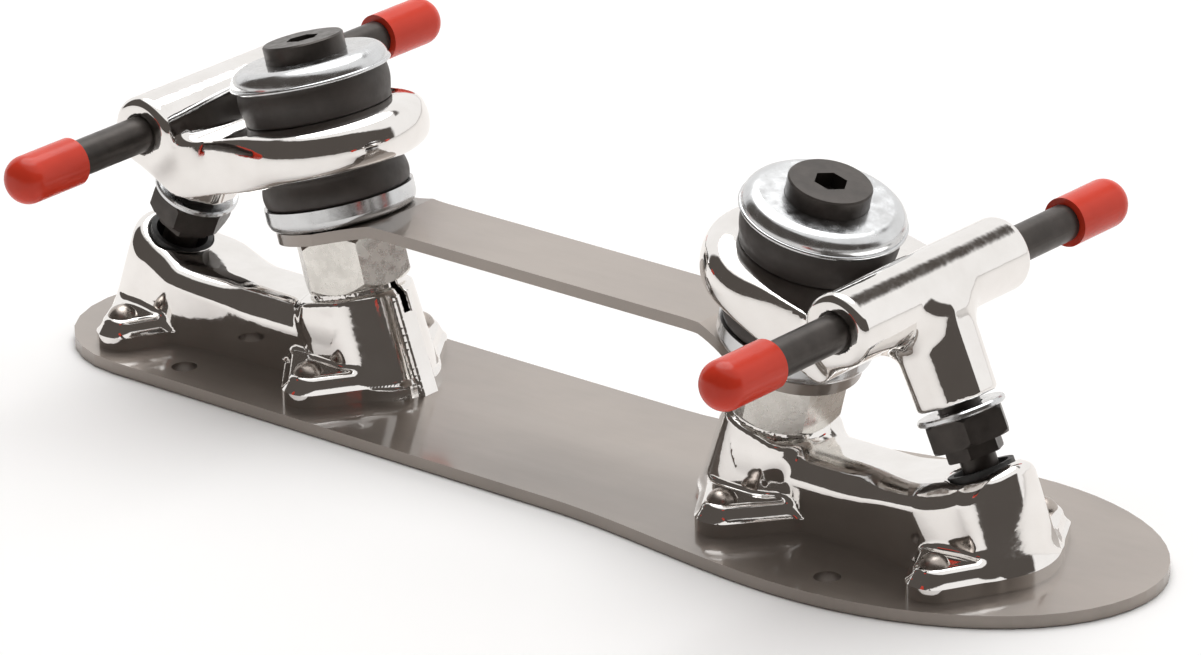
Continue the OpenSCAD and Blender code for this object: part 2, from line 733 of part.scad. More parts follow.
// Tongue from the ring to the barrel, in the ring's own frame
module tongue() {
    web_l = barrel_l - 2 * barrel_round;
    slice = 0.5;
    heel_r = ring_t / 2;
    rotate([90, 0, 90]) linear_extrude(hollow_along) for (y = [0, 1]) mirror([y, 0]) ring_section();
    difference() {
        hull() {
            translate([hollow_along - 2 * past, 0, 0]) rotate([90, 0, 90]) linear_extrude(slice)
                for (y = [0, 1]) mirror([y, 0]) ring_section($fn = 32);
            translate([axle_along, 0, axle_rise]) rotate([90, 0, 0])
                cylinder(r = web_end_r, h = web_l, center = true, $fn = 48);
            translate([axle_along - heel_r, 0, 0]) rotate([90, 0, 0])
                cylinder(r = heel_r, h = 2 * (ring_r - flank_r), center = true, $fn = 32);
        }
        rotate([90, 0, 0]) linear_extrude(2 * barrel_l, center = true) hollow_section();
    }
}
// Eight-sided pivot leg under the axle
module pivot_leg() {
    half_side = 22.5;
    corner = 1 / (2 * cos(half_side));
    on_pivot(0) rotate([0, 0, half_side]) hull() {
        translate([0, 0, leg_end_l]) cylinder(r = leg_af * corner, h = past, $fn = 8);
        translate([0, 0, pivot_l - past]) cylinder(r = leg_top_af * corner, h = past, $fn = 8);
    }
}
module truck() {
    color(chrome) difference() {
        union() {
            on_bolt(ring_mid_z) {
                rotate_extrude() ring_section();
                tongue();
            }
            on_axle(1) translate([0, 0, -barrel_l / 2]) rounded_bar(barrel_r, barrel_l, barrel_round);
            pivot_leg();
        }
        on_bolt(ring_low_z - past) cylinder(d = ring_bore_d, h = ring_t + 2 * past);
        on_axle(1) cylinder(d = axle_mid_d + 2 * fit_gap, h = barrel_l + 2 * past, center = true);
        on_pivot(leg_end_l - past) cylinder(r = stud_r + fit_gap, h = stud_depth + past + fit_gap);
    }
}

module axle_shaft() {
    color(oxide) union() {
        on_axle(1) cylinder(d = axle_mid_d, h = barrel_l, center = true);
        for (side = [-1, 1]) on_axle(side) {
            translate([0, 0, barrel_l / 2 - edge]) cylinder(d = axle_d, h = axle_seat_l + edge);
            translate([0, 0, seat_end - past]) turned(thread_r, axle_thread_l + past);
        }
    }
}
module axle_cap(side) {
    cap_l = cap_tip - cap_rim;
    color(vinyl) on_axle(side) translate([0, 0, cap_rim]) difference() {
        rotate_extrude() {
            square([cap_d / 2 - cap_tip_r, cap_l]);
            square([cap_d / 2, cap_l - cap_tip_r]);
            intersection() {
                translate([cap_d / 2 - cap_tip_r, cap_l - cap_tip_r]) circle(r = cap_tip_r);
                square([cap_d, cap_l]);
            }
        }
        translate([0, 0, -past]) cylinder(r = thread_r + fit_gap, h = cap_l - cap_end_t + past);
    }
}

// Pivot pin: threaded stud, wrench hex, neck and ball
module pivot_pin() {
    color(oxide) on_pivot(0) {
        sphere(r = ball_r);
        cylinder(r = neck_r, h = jam_z - pin_hex_h + edge);
        translate([0, 0, jam_z - pin_hex_h]) hexagon(pin_hex_af, pin_hex_h, fine_edge);
        translate([0, 0, jam_z - edge]) cylinder(r = stud_r, h = leg_end_l + stud_depth - jam_z + edge);
    }
}
module pivot_lock_nut() {
    color(oxide) on_pivot(jam_z) difference() {
        rotate([0, 0, jam_turn]) hexagon(jam_af, jam_h, jam_chamfer);
        translate([0, 0, -past]) cylinder(r = stud_r + fit_gap, h = jam_h + 2 * past);
    }
}
// Loose washer that lies on the jam nut
module pivot_washer() {
    color(zinc) on_pivot(jam_z + jam_h) difference() {
        turned(washer_r, washer_t, fine_edge);
        translate([0, 0, -past]) cylinder(r = stud_r + soft_gap, h = washer_t + 2 * past);
    }
}
// Cup that holds the ball: round below, open above so that the pin can swing
module pivot_cup() {
    color(oxide) on_pivot(-cup_depth) difference() {
        cylinder(r = cup_r, h = cup_depth + mouth_l);
        translate([0, 0, cup_depth]) sphere(r = ball_r + fit_gap);
        translate([0, 0, cup_depth])
            cylinder(r1 = ball_r + fit_gap, r2 = ball_r + past, h = mouth_l + fit_gap);
    }
}

sole_plate();
brace_strap();
at_end(true) base();  // front_base
at_end(false) base();  // rear_base
at_end(true) rivets();  // front_rivets
at_end(false) rivets();  // rear_rivets
at_end(true) king_bolt();  // front_king_bolt
at_end(false) king_bolt();  // rear_king_bolt
at_end(true) king_nut(front_nut_turn);  // front_king_nut
at_end(false) king_nut(rear_nut_turn);  // rear_king_nut
at_end(true) upper_retainer();  // front_upper_retainer
at_end(false) upper_retainer();  // rear_upper_retainer
at_end(true) upper_cushion();  // front_upper_cushion
at_end(false) upper_cushion();  // rear_upper_cushion
at_end(true) lower_cushion();  // front_lower_cushion
at_end(false) lower_cushion();  // rear_lower_cushion
at_end(true) lower_retainer();  // front_lower_retainer
at_end(false) lower_retainer();  // rear_lower_retainer
at_end(true) truck();  // front_truck
at_end(false) truck();  // rear_truck
at_end(true) axle_shaft();  // front_axle
at_end(false) axle_shaft();  // rear_axle
at_end(true) axle_cap(1);  // front_left_axle_cap
at_end(true) axle_cap(-1);  // front_right_axle_cap
at_end(false) axle_cap(1);  // rear_left_axle_cap
at_end(false) axle_cap(-1);  // rear_right_axle_cap
at_end(true) pivot_pin();  // front_pivot_pin
at_end(false) pivot_pin();  // rear_pivot_pin
at_end(true) pivot_lock_nut();  // front_pivot_lock_nut
at_end(false) pivot_lock_nut();  // rear_pivot_lock_nut
at_end(true) pivot_washer();  // front_pivot_washer
at_end(false) pivot_washer();  // rear_pivot_washer
at_end(true) pivot_cup();  // front_pivot_cup
at_end(false) pivot_cup();  // rear_pivot_cup
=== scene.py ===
"""Looks of the quad roller skate plate.

Chrome castings from distance fields, turned cups and cushions, finishes, stage, camera and light.
"""
import math

import bpy
import numpy as np
from mathutils import Matrix, Vector


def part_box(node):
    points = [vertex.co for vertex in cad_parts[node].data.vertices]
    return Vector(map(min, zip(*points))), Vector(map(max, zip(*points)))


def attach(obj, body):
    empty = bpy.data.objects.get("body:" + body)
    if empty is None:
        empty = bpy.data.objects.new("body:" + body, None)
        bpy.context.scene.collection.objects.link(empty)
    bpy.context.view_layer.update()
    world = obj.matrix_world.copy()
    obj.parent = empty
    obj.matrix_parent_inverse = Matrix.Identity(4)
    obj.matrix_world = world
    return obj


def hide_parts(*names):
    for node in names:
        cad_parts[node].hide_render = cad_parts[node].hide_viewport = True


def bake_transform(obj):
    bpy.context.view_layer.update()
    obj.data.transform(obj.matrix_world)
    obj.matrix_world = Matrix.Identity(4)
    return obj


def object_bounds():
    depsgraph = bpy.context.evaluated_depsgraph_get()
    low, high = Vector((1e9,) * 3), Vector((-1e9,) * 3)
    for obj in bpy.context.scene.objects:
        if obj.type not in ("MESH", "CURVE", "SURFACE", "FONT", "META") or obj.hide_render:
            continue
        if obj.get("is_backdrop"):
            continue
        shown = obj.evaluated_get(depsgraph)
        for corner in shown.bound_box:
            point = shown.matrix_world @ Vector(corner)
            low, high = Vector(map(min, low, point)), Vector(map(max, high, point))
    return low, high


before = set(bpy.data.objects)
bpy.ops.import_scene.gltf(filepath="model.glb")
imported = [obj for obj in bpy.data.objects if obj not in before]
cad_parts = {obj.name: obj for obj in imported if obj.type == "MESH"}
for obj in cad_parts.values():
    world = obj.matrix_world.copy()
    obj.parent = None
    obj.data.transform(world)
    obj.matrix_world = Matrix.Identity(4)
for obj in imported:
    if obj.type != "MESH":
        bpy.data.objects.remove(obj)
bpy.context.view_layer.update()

MM = 0.001
ENDS = ("front", "rear")

# Sizes of the CAD part that the meshes below follow, at the front end and in millimetres
FIT_GAP = 0.05
PLATE_T = 2.4
BOLT_LEAN = math.radians(15)
SEAT = np.array([51.5, 0.0, 21.2])
BOLT_R = 4.75
AXLE = np.array([84.0, 0.0, 51.3])
BALL = np.array([100.2, 0.0, 15.4])

# Base: feet and bosses stand on a thin flange with upright walls, and draw in above it in a hollow curve
FLANGE_Z, FLANGE_RIM = 5.0, 0.45
FOOT_Z, FOOT_R, FOOT_CORNER_R = 8.0, 5.2, 2.0
FOOT_HOLLOW, FOOT_RIM, FOOT_FILLET = 0.8, 1.1, 1.0
FOOT_DRAFT, END_DRAFT = math.tan(math.radians(15)), math.tan(math.radians(14))
RIVET_Y, RIVET_R = 16.0, 2.0
# Each pair of feet: its rivets' place, and how far it runs along the wall on both sides, out to which width
INNER_FOOT = (50.8, 7.0, 14.0, 8.4)
OUTER_FOOT = (99.4, 4.0, 9.5, 11.0)
RIDGE_HALF, RIDGE_ROUND, RIDGE_Z, RIDGE_FILLET = 9.0, 6.0, 16.8, 4.0
WIDEN_X, WIDEN_L, WALL_HALF, WALL_SPREAD = 78.0, 15.0, 11.3, 9.0
BASE_END, BASE_END_R, SHOULDER_END = 112.0, 16.0, 109.0
END_HOLLOW, END_HOLLOW_H, END_EDGE = 0.5, 4.0, 0.5
SKIRT_R = 5.0
# King bolt boss, with a collar on top and a slit pad on its inner side
KING_R, KING_FLARE, KING_ROUND = 10.0, 2.2, 1.0
KING_CORNER_R, KING_CORNER_OUT = 3.6, 9.0
KING_FOOT_R, KING_FOOT_FILLET = 11.4, 0.8
COLLAR_R, COLLAR_H, COLLAR_EDGE, COLLAR_FILLET = 9.0, 1.2, 0.35, 0.3
SLIT_W, SLIT_H, SLIT_EDGE = 1.7, 6.3, 0.25
PAD_W, PAD_OUT, PAD_DROP = 4.4, 0.6, 1.2
PAD_EDGE, PAD_TOP_EDGE, PAD_FILLET = 0.4, 0.5, 0.5
BOLT_BORE_L = 16.0
# Its fillets are shallow down the ridge's sides and deep on top, and grow between these heights
SIDE_FILLET, TOP_FILLET, FILLET_GROWS = 1.0, 4.0, (9.0, 16.0)
# Pivot boss, whose outer face stands steeper than its axis, and whose bore has a rounder edge at the mouth
PIVOT_R, PIVOT_FLARE, PIVOT_ROUND, PIVOT_DRAW_IN = 9.2, 0.05, 2.4, 0.085
PIVOT_CUP_R, PIVOT_CUP_DEPTH = 6.2, 5.8
MOUTH_L, BORE_EDGE, MOUTH_EDGE, MOUTH_BEGINS = 6.0, 0.2, 1.0, (3.5, 5.0)

# Truck: the ring's flanks and lips are round, the tongue's flat and crisp, and they change along these spans
RING_MID, RING_T, RING_R = 28.75, 10.7, 20.2
RING_BORE_R, RING_BORE_EDGE = 7.0, 0.7
RING_FLANK_R, TONGUE_FLANK_R, FLANK_CHANGES = 8.0, 20.0, (-4.0, 12.0)
RING_LIP, TONGUE_LIP, LIP_CHANGES = 2.6, 0.6, (-6.0, 8.0)
TONGUE_WIDENS = 12.6
BARREL_R, BARREL_L, BARREL_ROUND, BARREL_FILLET = 7.0, 49.4, 1.8, 4.5
GUSSET_INSET, GUSSET_EDGE = 0.5, 2.0
LEG_AF, LEG_TOP_AF, LEG_L = 15.0, 16.0, 20.6
LEG_CORNER, LEG_END_EDGE, LEG_FILLET = 1.2, 0.8, 4.0
LEG_TOP_SHORT, LEG_TOP_ROUND = 2.0, 3.0
STUD_R, STUD_DEPTH = 4.0, 9.0
AXLE_MID_R, AXLE_BORE_EDGE = 3.8, 0.3

# Frames of the front end: Z along the king bolt, and Z from the pivot ball to the axle
BOLT_X = np.array([math.cos(BOLT_LEAN), 0, -math.sin(BOLT_LEAN)])
BOLT_Z = np.array([math.sin(BOLT_LEAN), 0, math.cos(BOLT_LEAN)])
SIDE = np.array([0.0, 1.0, 0.0])
RING = SEAT + BOLT_Z * RING_MID
PIVOT_L = float(np.linalg.norm(AXLE - BALL))
PIVOT_Z = (AXLE - BALL) / PIVOT_L
PIVOT_X = np.cross(SIDE, PIVOT_Z)
LEG_END = PIVOT_L - LEG_L


# Distance fields: rounded joins and cuts, in millimetres
def join(a, b, r):
    """Union with a hollow fillet of radius r."""
    return np.maximum(r, np.minimum(a, b)) - np.hypot(np.maximum(r - a, 0), np.maximum(r - b, 0))


def meet(a, b, r):
    """Intersection with its edge rounded to radius r."""
    return np.minimum(-r, np.maximum(a, b)) + np.hypot(np.maximum(r + a, 0), np.maximum(r + b, 0))


def in_plane(x, z, origin, ex, ez):
    """Place along the two axes of a leaning frame, which share the middle plane."""
    dx, dz = x - origin[0], z - origin[2]
    return dx * ex[0] + dz * ex[2], dx * ez[0] + dz * ez[2]


def step_between(t, low, high):
    """Smooth step from 0 to 1 as t goes from low to high."""
    t = np.clip((t - low) / (high - low), 0, 1)
    return t * t * (3 - 2 * t)


def change(a, b, t, low, high):
    """Smooth change from a to b as t goes from low to high."""
    return a + (b - a) * step_between(t, low, high)


def polygon(x, y, points):
    """Distance to a convex polygon given counter-clockwise."""
    best = np.full(np.broadcast(x, y).shape, 1e9)
    inside = np.full(best.shape, -1e9)
    for (ax, ay), (bx, by) in zip(points, points[1:] + points[:1]):
        ex, ey = bx - ax, by - ay
        length = math.hypot(ex, ey)
        t = np.clip(((x - ax) * ex + (y - ay) * ey) / length**2, 0, 1)
        best = np.minimum(best, np.hypot(x - ax - t * ex, y - ay - t * ey))
        inside = np.maximum(inside, ((x - ax) * ey - (y - ay) * ex) / length)
    return np.where(inside < 0, -best, best)


def truck_field(x, y, z):
    """Truck casting: ring, tongue, axle barrel and the leg to the pivot."""
    wide = np.abs(y)
    along, rise = in_plane(x, z, RING, BOLT_X, BOLT_Z)
    axle_along, axle_rise = in_plane(AXLE[0], AXLE[2], RING, BOLT_X, BOLT_Z)
    heel = axle_along - RING_T / 2
    # ring and tongue: a flat slab, widening towards the barrel
    widening = np.clip((along - TONGUE_WIDENS) / (axle_along - TONGUE_WIDENS), 0, 1)
    grown = (BARREL_L / 2 - BARREL_ROUND - RING_R) * widening
    out = np.where(along < 0, np.hypot(along, y), wide) - grown
    flank = change(RING_FLANK_R, TONGUE_FLANK_R, along, *FLANK_CHANGES)
    lip = change(RING_LIP, TONGUE_LIP, along, *LIP_CHANGES)
    over = np.maximum(out - (RING_R - flank), 0)
    side = np.hypot(np.maximum(along - heel, 0), rise) - RING_T / 2
    slab = meet(np.hypot(over, rise) - flank, side, lip)
    # barrel, with a hollow up to it on the tongue's top
    around = np.hypot(along - axle_along, rise - axle_rise)
    barrel = meet(around - BARREL_R, wide - BARREL_L / 2, BARREL_ROUND)
    body = join(slab, barrel, BARREL_FILLET)
    # gusset under the barrel
    span = math.hypot(axle_along - heel, axle_rise)
    ex, ez = (axle_along - heel) / span, axle_rise / span
    run = (along - heel) * ex + rise * ez
    off = (along - heel) * ez - rise * ex
    radius = RING_T / 2 + (BARREL_R - GUSSET_INSET - RING_T / 2) * np.clip(run / span, 0, 1)
    middle = axle_rise * np.clip((along - heel) / (axle_along - heel), 0, 1)
    gusset = np.hypot(off, run - np.clip(run, 0, span)) - radius
    gusset = np.maximum(gusset, -off)
    gusset = meet(gusset, np.hypot(over, rise - middle) - flank, GUSSET_EDGE)
    body = np.minimum(body, gusset)
    # eight-sided leg
    u, t = in_plane(x, z, BALL, PIVOT_X, PIVOT_Z)
    half = (LEG_AF + (LEG_TOP_AF - LEG_AF) * np.clip((t - LEG_END) / LEG_L, 0, 1)) / 2
    leg = meet(np.maximum(np.abs(u), wide) - half, (np.abs(u) + wide) / math.sqrt(2) - half, LEG_CORNER)
    leg = meet(leg, LEG_END - t, LEG_END_EDGE)
    leg = meet(leg, t - (PIVOT_L - LEG_TOP_SHORT), LEG_TOP_ROUND)
    body = join(body, leg, LEG_FILLET)
    # bores
    body = meet(body, RING_BORE_R - np.hypot(along, y), RING_BORE_EDGE)
    body = meet(body, AXLE_MID_R + FIT_GAP - around, AXLE_BORE_EDGE)
    stud = np.maximum(np.hypot(u, y) - STUD_R - FIT_GAP, t - LEG_END - STUD_DEPTH)
    return np.maximum(body, -stud)


def foot_plan(x, wide, rivet_x, lead, tail, tail_y):
    """Distance, seen from above, to a foot: a lobe round its rivet that runs back to the wall."""
    # drawn smaller by the corners' radius, and grown again by it
    lobe_r, tail_y = FOOT_R - FOOT_CORNER_R, tail_y - FOOT_CORNER_R
    left, right = rivet_x - lobe_r - lead, rivet_x + tail - FOOT_CORNER_R
    outline = [(left, 0), (right, 0), (right, tail_y)]
    for corner_x, way in ((right, 1), (left, -1)):
        # the line from this corner touches the lobe here
        dx, dy = corner_x - rivet_x, tail_y - RIVET_Y
        angle = math.atan2(dy, dx) + way * math.acos(lobe_r / math.hypot(dx, dy))
        outline.append((rivet_x + lobe_r * math.cos(angle), RIVET_Y + lobe_r * math.sin(angle)))
    outline.append((left, tail_y))
    plan = np.minimum(polygon(x, wide, outline), np.hypot(x - rivet_x, wide - RIVET_Y) - lobe_r)
    return plan - FOOT_CORNER_R


def drawn_in(z, depth, height, draft):
    """How far a wall lies inside the flange at a height: a hollow of this depth, on a steady draft."""
    above = np.maximum(z - FLANGE_Z, 0)
    return depth * (1 - (1 - np.minimum(above / height, 1)) ** 3) + draft * above


def king_boss(x, y, z):
    """Leaning boss: round on its inner side, square beside the ridge, with a foot, a collar and a pad."""
    wide = np.abs(y)
    u, h = in_plane(x, z, SEAT, BOLT_X, BOLT_Z)
    reach = (SEAT[2] - PLATE_T) / math.cos(BOLT_LEAN) + KING_R
    grown = KING_FLARE * (-COLLAR_H - h) / reach
    square = meet(wide - KING_R, u - KING_CORNER_OUT, KING_CORNER_R)
    plan = np.where(u < 0, np.hypot(u, y) - KING_R, square)
    king = meet(plan - grown, h + COLLAR_H, KING_ROUND)
    foot_x = SEAT[0] - (SEAT[2] - PLATE_T) * math.tan(BOLT_LEAN)
    foot = meet(np.hypot(x - foot_x, y) - KING_FOOT_R, z - FLANGE_Z, FLANGE_RIM)
    king = join(king, foot, KING_FOOT_FILLET)
    pad = meet(wide - PAD_W / 2, -u - KING_R - PAD_OUT - grown, PAD_EDGE)
    pad = meet(pad, np.maximum(h + COLLAR_H + PAD_DROP, u), PAD_TOP_EDGE)
    king = join(king, pad, PAD_FILLET)
    return join(king, meet(np.hypot(u, y) - COLLAR_R, h, COLLAR_EDGE), COLLAR_FILLET)


def base_field(x, y, z):
    """Base casting: two leaning bosses, the ridge between them and four feet."""
    wide = np.abs(y)
    v, t = in_plane(x, z, BALL, PIVOT_X, PIVOT_Z)
    # ridge and pivot boss in one: round shoulders, walls that spread beside the outer rivets
    # and draw in again round the pivot, and a top that rises to the mouth
    deep = MOUTH_L - t
    round_r = PIVOT_R + PIVOT_FLARE * deep
    outer = np.hypot(v * round_r / (PIVOT_R - PIVOT_DRAW_IN * deep), y) - round_r
    half = change(round_r, WALL_HALF, -v, 0.0, WALL_SPREAD)
    half = half - (WALL_HALF - RIDGE_HALF) * step_between(-x, -WIDEN_X - WIDEN_L, -WIDEN_X)
    plan = np.where(v > 0, outer, wide - half)
    shoulder = change(RIDGE_ROUND, PIVOT_ROUND, x, BALL[0], SHOULDER_END)
    body = meet(plan, join(z - RIDGE_Z, t - MOUTH_L, RIDGE_FILLET), shoulder)
    body = np.maximum(body, SEAT[0] - x)
    # upright wall round the outer end, with a hollow up to the boss
    ring = np.hypot(np.maximum(x - BASE_END + BASE_END_R, 0), y)
    skirt = meet(np.maximum(ring - BASE_END_R, BASE_END - BASE_END_R - x), z - FLANGE_Z, FLANGE_RIM)
    wall = ring - BASE_END_R + drawn_in(z, END_HOLLOW, END_HOLLOW_H, END_DRAFT)
    body = meet(join(body, skirt, SKIRT_R), wall, END_EDGE)
    body = join(body, king_boss(x, y, z), change(SIDE_FILLET, TOP_FILLET, z, *FILLET_GROWS))
    for foot in (INNER_FOOT, OUTER_FOOT):
        plan = foot_plan(x, wide, *foot) + drawn_in(z, FOOT_HOLLOW, FOOT_Z - FLANGE_Z, FOOT_DRAFT)
        body = join(body, meet(plan, z - FOOT_Z, FOOT_RIM), FOOT_FILLET)
        body = np.maximum(body, RIVET_R + FIT_GAP - np.hypot(x - foot[0], wide - RIVET_Y))
    # slit, bores and the plate's face
    u, h = in_plane(x, z, SEAT, BOLT_X, BOLT_Z)
    body = meet(body, -np.maximum(np.maximum(wide - SLIT_W / 2, -SLIT_H - h), u), SLIT_EDGE)
    body = np.maximum(body, -np.maximum(np.hypot(u, y) - BOLT_R - FIT_GAP, -BOLT_BORE_L - h))
    cup = np.maximum(np.hypot(v, y) - PIVOT_CUP_R - FIT_GAP, -PIVOT_CUP_DEPTH - FIT_GAP - t)
    body = meet(body, -cup, change(BORE_EDGE, MOUTH_EDGE, t, *MOUTH_BEGINS))
    return np.maximum(body, PLATE_T - z)


# Meshing: halvings of a crossed edge, pull to a cell's middle, least bend that makes a crease,
# and how far inside its face a crease's normal is taken
HALVINGS, HOLD, LEAST_BEND, INSET = 10, 0.04, 0.05, 0.3
TURNED_CREASE = math.radians(40)


def slope_of(field, points, reach=0.01):
    """Unit normals of a field at some points."""
    slope = np.stack([field(*(points + e).T) - field(*(points - e).T) for e in np.eye(3) * reach], -1)
    return slope / np.maximum(np.linalg.norm(slope, axis=-1, keepdims=True), 1e-9)


def surface_net(field, low, high, step):
    """Closed quad mesh of a field's zero surface and the normal of each face corner.

    Each cell's vertex lies where the tangent planes round it meet best, so that edges stay crisp.
    """
    axes = [np.arange(a - 1.5 * step, b + 2.5 * step, step) for a, b in zip(low, high)]
    start = np.array([a[0] for a in axes])
    d = field(*np.meshgrid(*axes, indexing="ij", sparse=True))
    corner_cells, points = [], []
    for axis in range(3):
        others = [k for k in range(3) if k != axis]
        ahead = np.roll(d, -1, axis)
        at = np.argwhere((d < 0) != (ahead < 0))
        solid = d[tuple(at.T)] < 0
        # halve the crossed edge until the surface is found on it
        near = start + at * step
        far = near.copy()
        far[:, axis] += step
        for _ in range(HALVINGS):
            middle = (near + far) / 2
            same = (field(*middle.T) < 0) == solid
            near[same], far[~same] = middle[same], middle[~same]
        points.append((near + far) / 2)
        around = []
        for du, dv in ((1, 1), (0, 1), (0, 0), (1, 0)):
            cell = at.copy()
            cell[:, others[0]] -= du
            cell[:, others[1]] -= dv
            around.append(np.ravel_multi_index(cell.T, d.shape))
        around = np.stack(around, -1)
        turned = solid if axis == 1 else ~solid
        around[turned] = around[turned][:, ::-1]
        corner_cells.append(around)
    points, corner_cells = np.concatenate(points), np.concatenate(corner_cells)
    normals = slope_of(field, points)
    cells, quads = np.unique(corner_cells, return_inverse=True)
    quads = quads.reshape(-1, 4)
    middle, pull = np.zeros((len(cells), 3)), np.zeros((len(cells), 3))
    planes = np.zeros((len(cells), 3, 3))
    for column in quads.T:
        np.add.at(middle, column, points)
        np.add.at(planes, column, normals[:, :, None] * normals[:, None, :])
        np.add.at(pull, column, normals * (normals * points).sum(-1, keepdims=True))
    count = np.bincount(quads.ravel(), minlength=len(cells))[:, None]
    middle /= count
    # edges and corners are where a cell's tangent planes differ
    creased = np.linalg.eigvalsh(planes / count[:, :, None])[:, 1] > LEAST_BEND
    verts = np.linalg.solve(planes + HOLD * np.eye(3), (pull + HOLD * middle)[..., None])[..., 0]
    cell_low = start + step * np.stack(np.unravel_index(cells, d.shape), -1)
    verts = np.clip(verts, cell_low, cell_low + step)
    corners = slope_of(field, verts)[quads]
    centres = verts[quads].mean(1, keepdims=True)
    inside = verts[quads] + INSET * (centres - verts[quads])
    sharp = creased[quads]
    corners[sharp] = slope_of(field, inside[sharp])
    return verts, quads, corners


def piece(end, name, verts, faces, body, node, slot, normals=None):
    """Mesh object in place of a CAD node. It rides a body, unless none is given, and the rear end is
    mirrored.
    """
    verts = np.array(verts, float)
    faces = [list(map(int, f)) for f in faces]
    if end == "rear":
        verts = verts * [-1, 1, 1]
        faces = [f[::-1] for f in faces]
        normals = None if normals is None else normals[:, ::-1] * [-1, 1, 1]
    mesh = bpy.data.meshes.new(f"{end}_{name}")
    mesh.from_pydata((verts * MM).tolist(), [], faces)
    mesh.shade_smooth()
    if normals is None:
        mesh.set_sharp_from_angle(angle=TURNED_CREASE)
    else:
        mesh.normals_split_custom_set(normals.reshape(-1, 3).tolist())
    mesh.materials.append(FINISHES[slot])
    obj = bpy.data.objects.new(f"{end}_{name}", mesh)
    bpy.context.scene.collection.objects.link(obj)
    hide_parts(f"{end}_{node}")
    if body is not None:
        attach(obj, body)
    return obj


def lathe(profile, turns):
    """Mesh turned round the king bolt from the (radius, height) points of a section."""
    angles = np.arange(turns) * 2 * math.pi / turns
    around = np.outer(np.cos(angles), BOLT_X) + np.outer(np.sin(angles), SIDE)
    verts = np.concatenate([SEAT + radius * around + height * BOLT_Z for radius, height in profile])
    faces = []
    for low in range(0, len(verts) - turns, turns):
        high = low + turns
        for i in range(turns):
            j = (i + 1) % turns
            faces.append([low + i, low + j, high + j, high + i])
    return verts, faces


def arc(cx, cy, r, a0, a1, steps):
    """Points of a round edge, angles in degrees."""
    return [(cx + r * math.cos(math.radians(a)), cy + r * math.sin(math.radians(a)))
            for a in np.linspace(a0, a1, steps + 1)]


# Finishes
def colour(r, g, b):
    return (r, g, b, 1.0)


class Finish:
    """Small builder for a procedural surface finish."""

    def __init__(self, name):
        self.material = bpy.data.materials.new(name)
        self.material.use_nodes = True
        self.tree = self.material.node_tree
        self.shader = self.tree.nodes["Principled BSDF"]
        self.place = self.tree.nodes.new("ShaderNodeTexCoord").outputs["Object"]

    def link(self, a, b):
        self.tree.links.new(a, b)

    def noise(self, scale, detail, stretch=(1, 1, 1), rough=0.55):
        mapping = self.tree.nodes.new("ShaderNodeMapping")
        mapping.inputs["Scale"].default_value = stretch
        self.link(self.place, mapping.inputs["Vector"])
        node = self.tree.nodes.new("ShaderNodeTexNoise")
        node.inputs["Scale"].default_value = scale
        node.inputs["Detail"].default_value = detail
        node.inputs["Roughness"].default_value = rough
        self.link(mapping.outputs["Vector"], node.inputs["Vector"])
        return node.outputs["Fac"]

    def spread(self, value, low, high, lowest=0.3, highest=0.7):
        node = self.tree.nodes.new("ShaderNodeMapRange")
        node.inputs["From Min"].default_value = lowest
        node.inputs["From Max"].default_value = highest
        node.inputs["To Min"].default_value = low
        node.inputs["To Max"].default_value = high
        self.link(value, node.inputs["Value"])
        return node.outputs["Result"]

    def mix(self, factor, a, b):
        node = self.tree.nodes.new("ShaderNodeMix")
        node.data_type = "RGBA"
        node.inputs["A"].default_value = a
        node.inputs["B"].default_value = b
        self.link(factor, node.inputs["Factor"])
        return node.outputs["Result"]

    def bump(self, height, strength, distance, onto=None):
        node = self.tree.nodes.new("ShaderNodeBump")
        node.inputs["Strength"].default_value = strength
        node.inputs["Distance"].default_value = distance
        self.link(height, node.inputs["Height"])
        if onto is not None:
            self.link(onto, node.inputs["Normal"])
        return node.outputs["Normal"]

    def set(self, name, value):
        socket = self.shader.inputs[name]
        if hasattr(value, "links"):
            self.link(value, socket)
        else:
            socket.default_value = value


def chrome():
    """Bright plating over a faint ripple."""
    f = Finish("chrome")
    f.set("Metallic", 1.0)
    haze = f.noise(140, 3)
    f.set("Base Color", f.mix(f.spread(haze, 0, 1), colour(0.90, 0.885, 0.87), colour(0.84, 0.82, 0.80)))
    f.set("Roughness", f.spread(f.noise(900, 5), 0.03, 0.09))
    ripple = f.bump(f.noise(260, 2), 0.06, 0.0006)
    f.set("Normal", f.bump(f.noise(2600, 2), 0.04, 0.00006, ripple))
    return f.material


STEEL_TONE, STEEL_DARKER = (0.31, 0.268, 0.235), 0.84
ROLLED_ALONG = (0.15, 1, 1)


def rolled_steel(name):
    """Steel sheet, half polished, with faint rolling marks and handling haze."""
    f = Finish(name)
    f.set("Metallic", 1.0)
    haze = f.noise(38, 5, (0.6, 1, 1))
    dark = colour(*(STEEL_DARKER * v for v in STEEL_TONE))
    f.set("Base Color", f.mix(f.spread(haze, 0, 1, 0.35, 0.65), colour(*STEEL_TONE), dark))
    f.set("Roughness", f.spread(f.noise(90, 5, ROLLED_ALONG), 0.36, 0.50))
    f.set("Coat Weight", 0.8)
    f.set("Coat IOR", 2.0)
    f.set("Coat Roughness", f.spread(f.noise(60, 4, ROLLED_ALONG), 0.06, 0.14))
    f.set("Normal", f.bump(f.noise(900, 3, ROLLED_ALONG), 0.03, 0.00005))
    return f.material


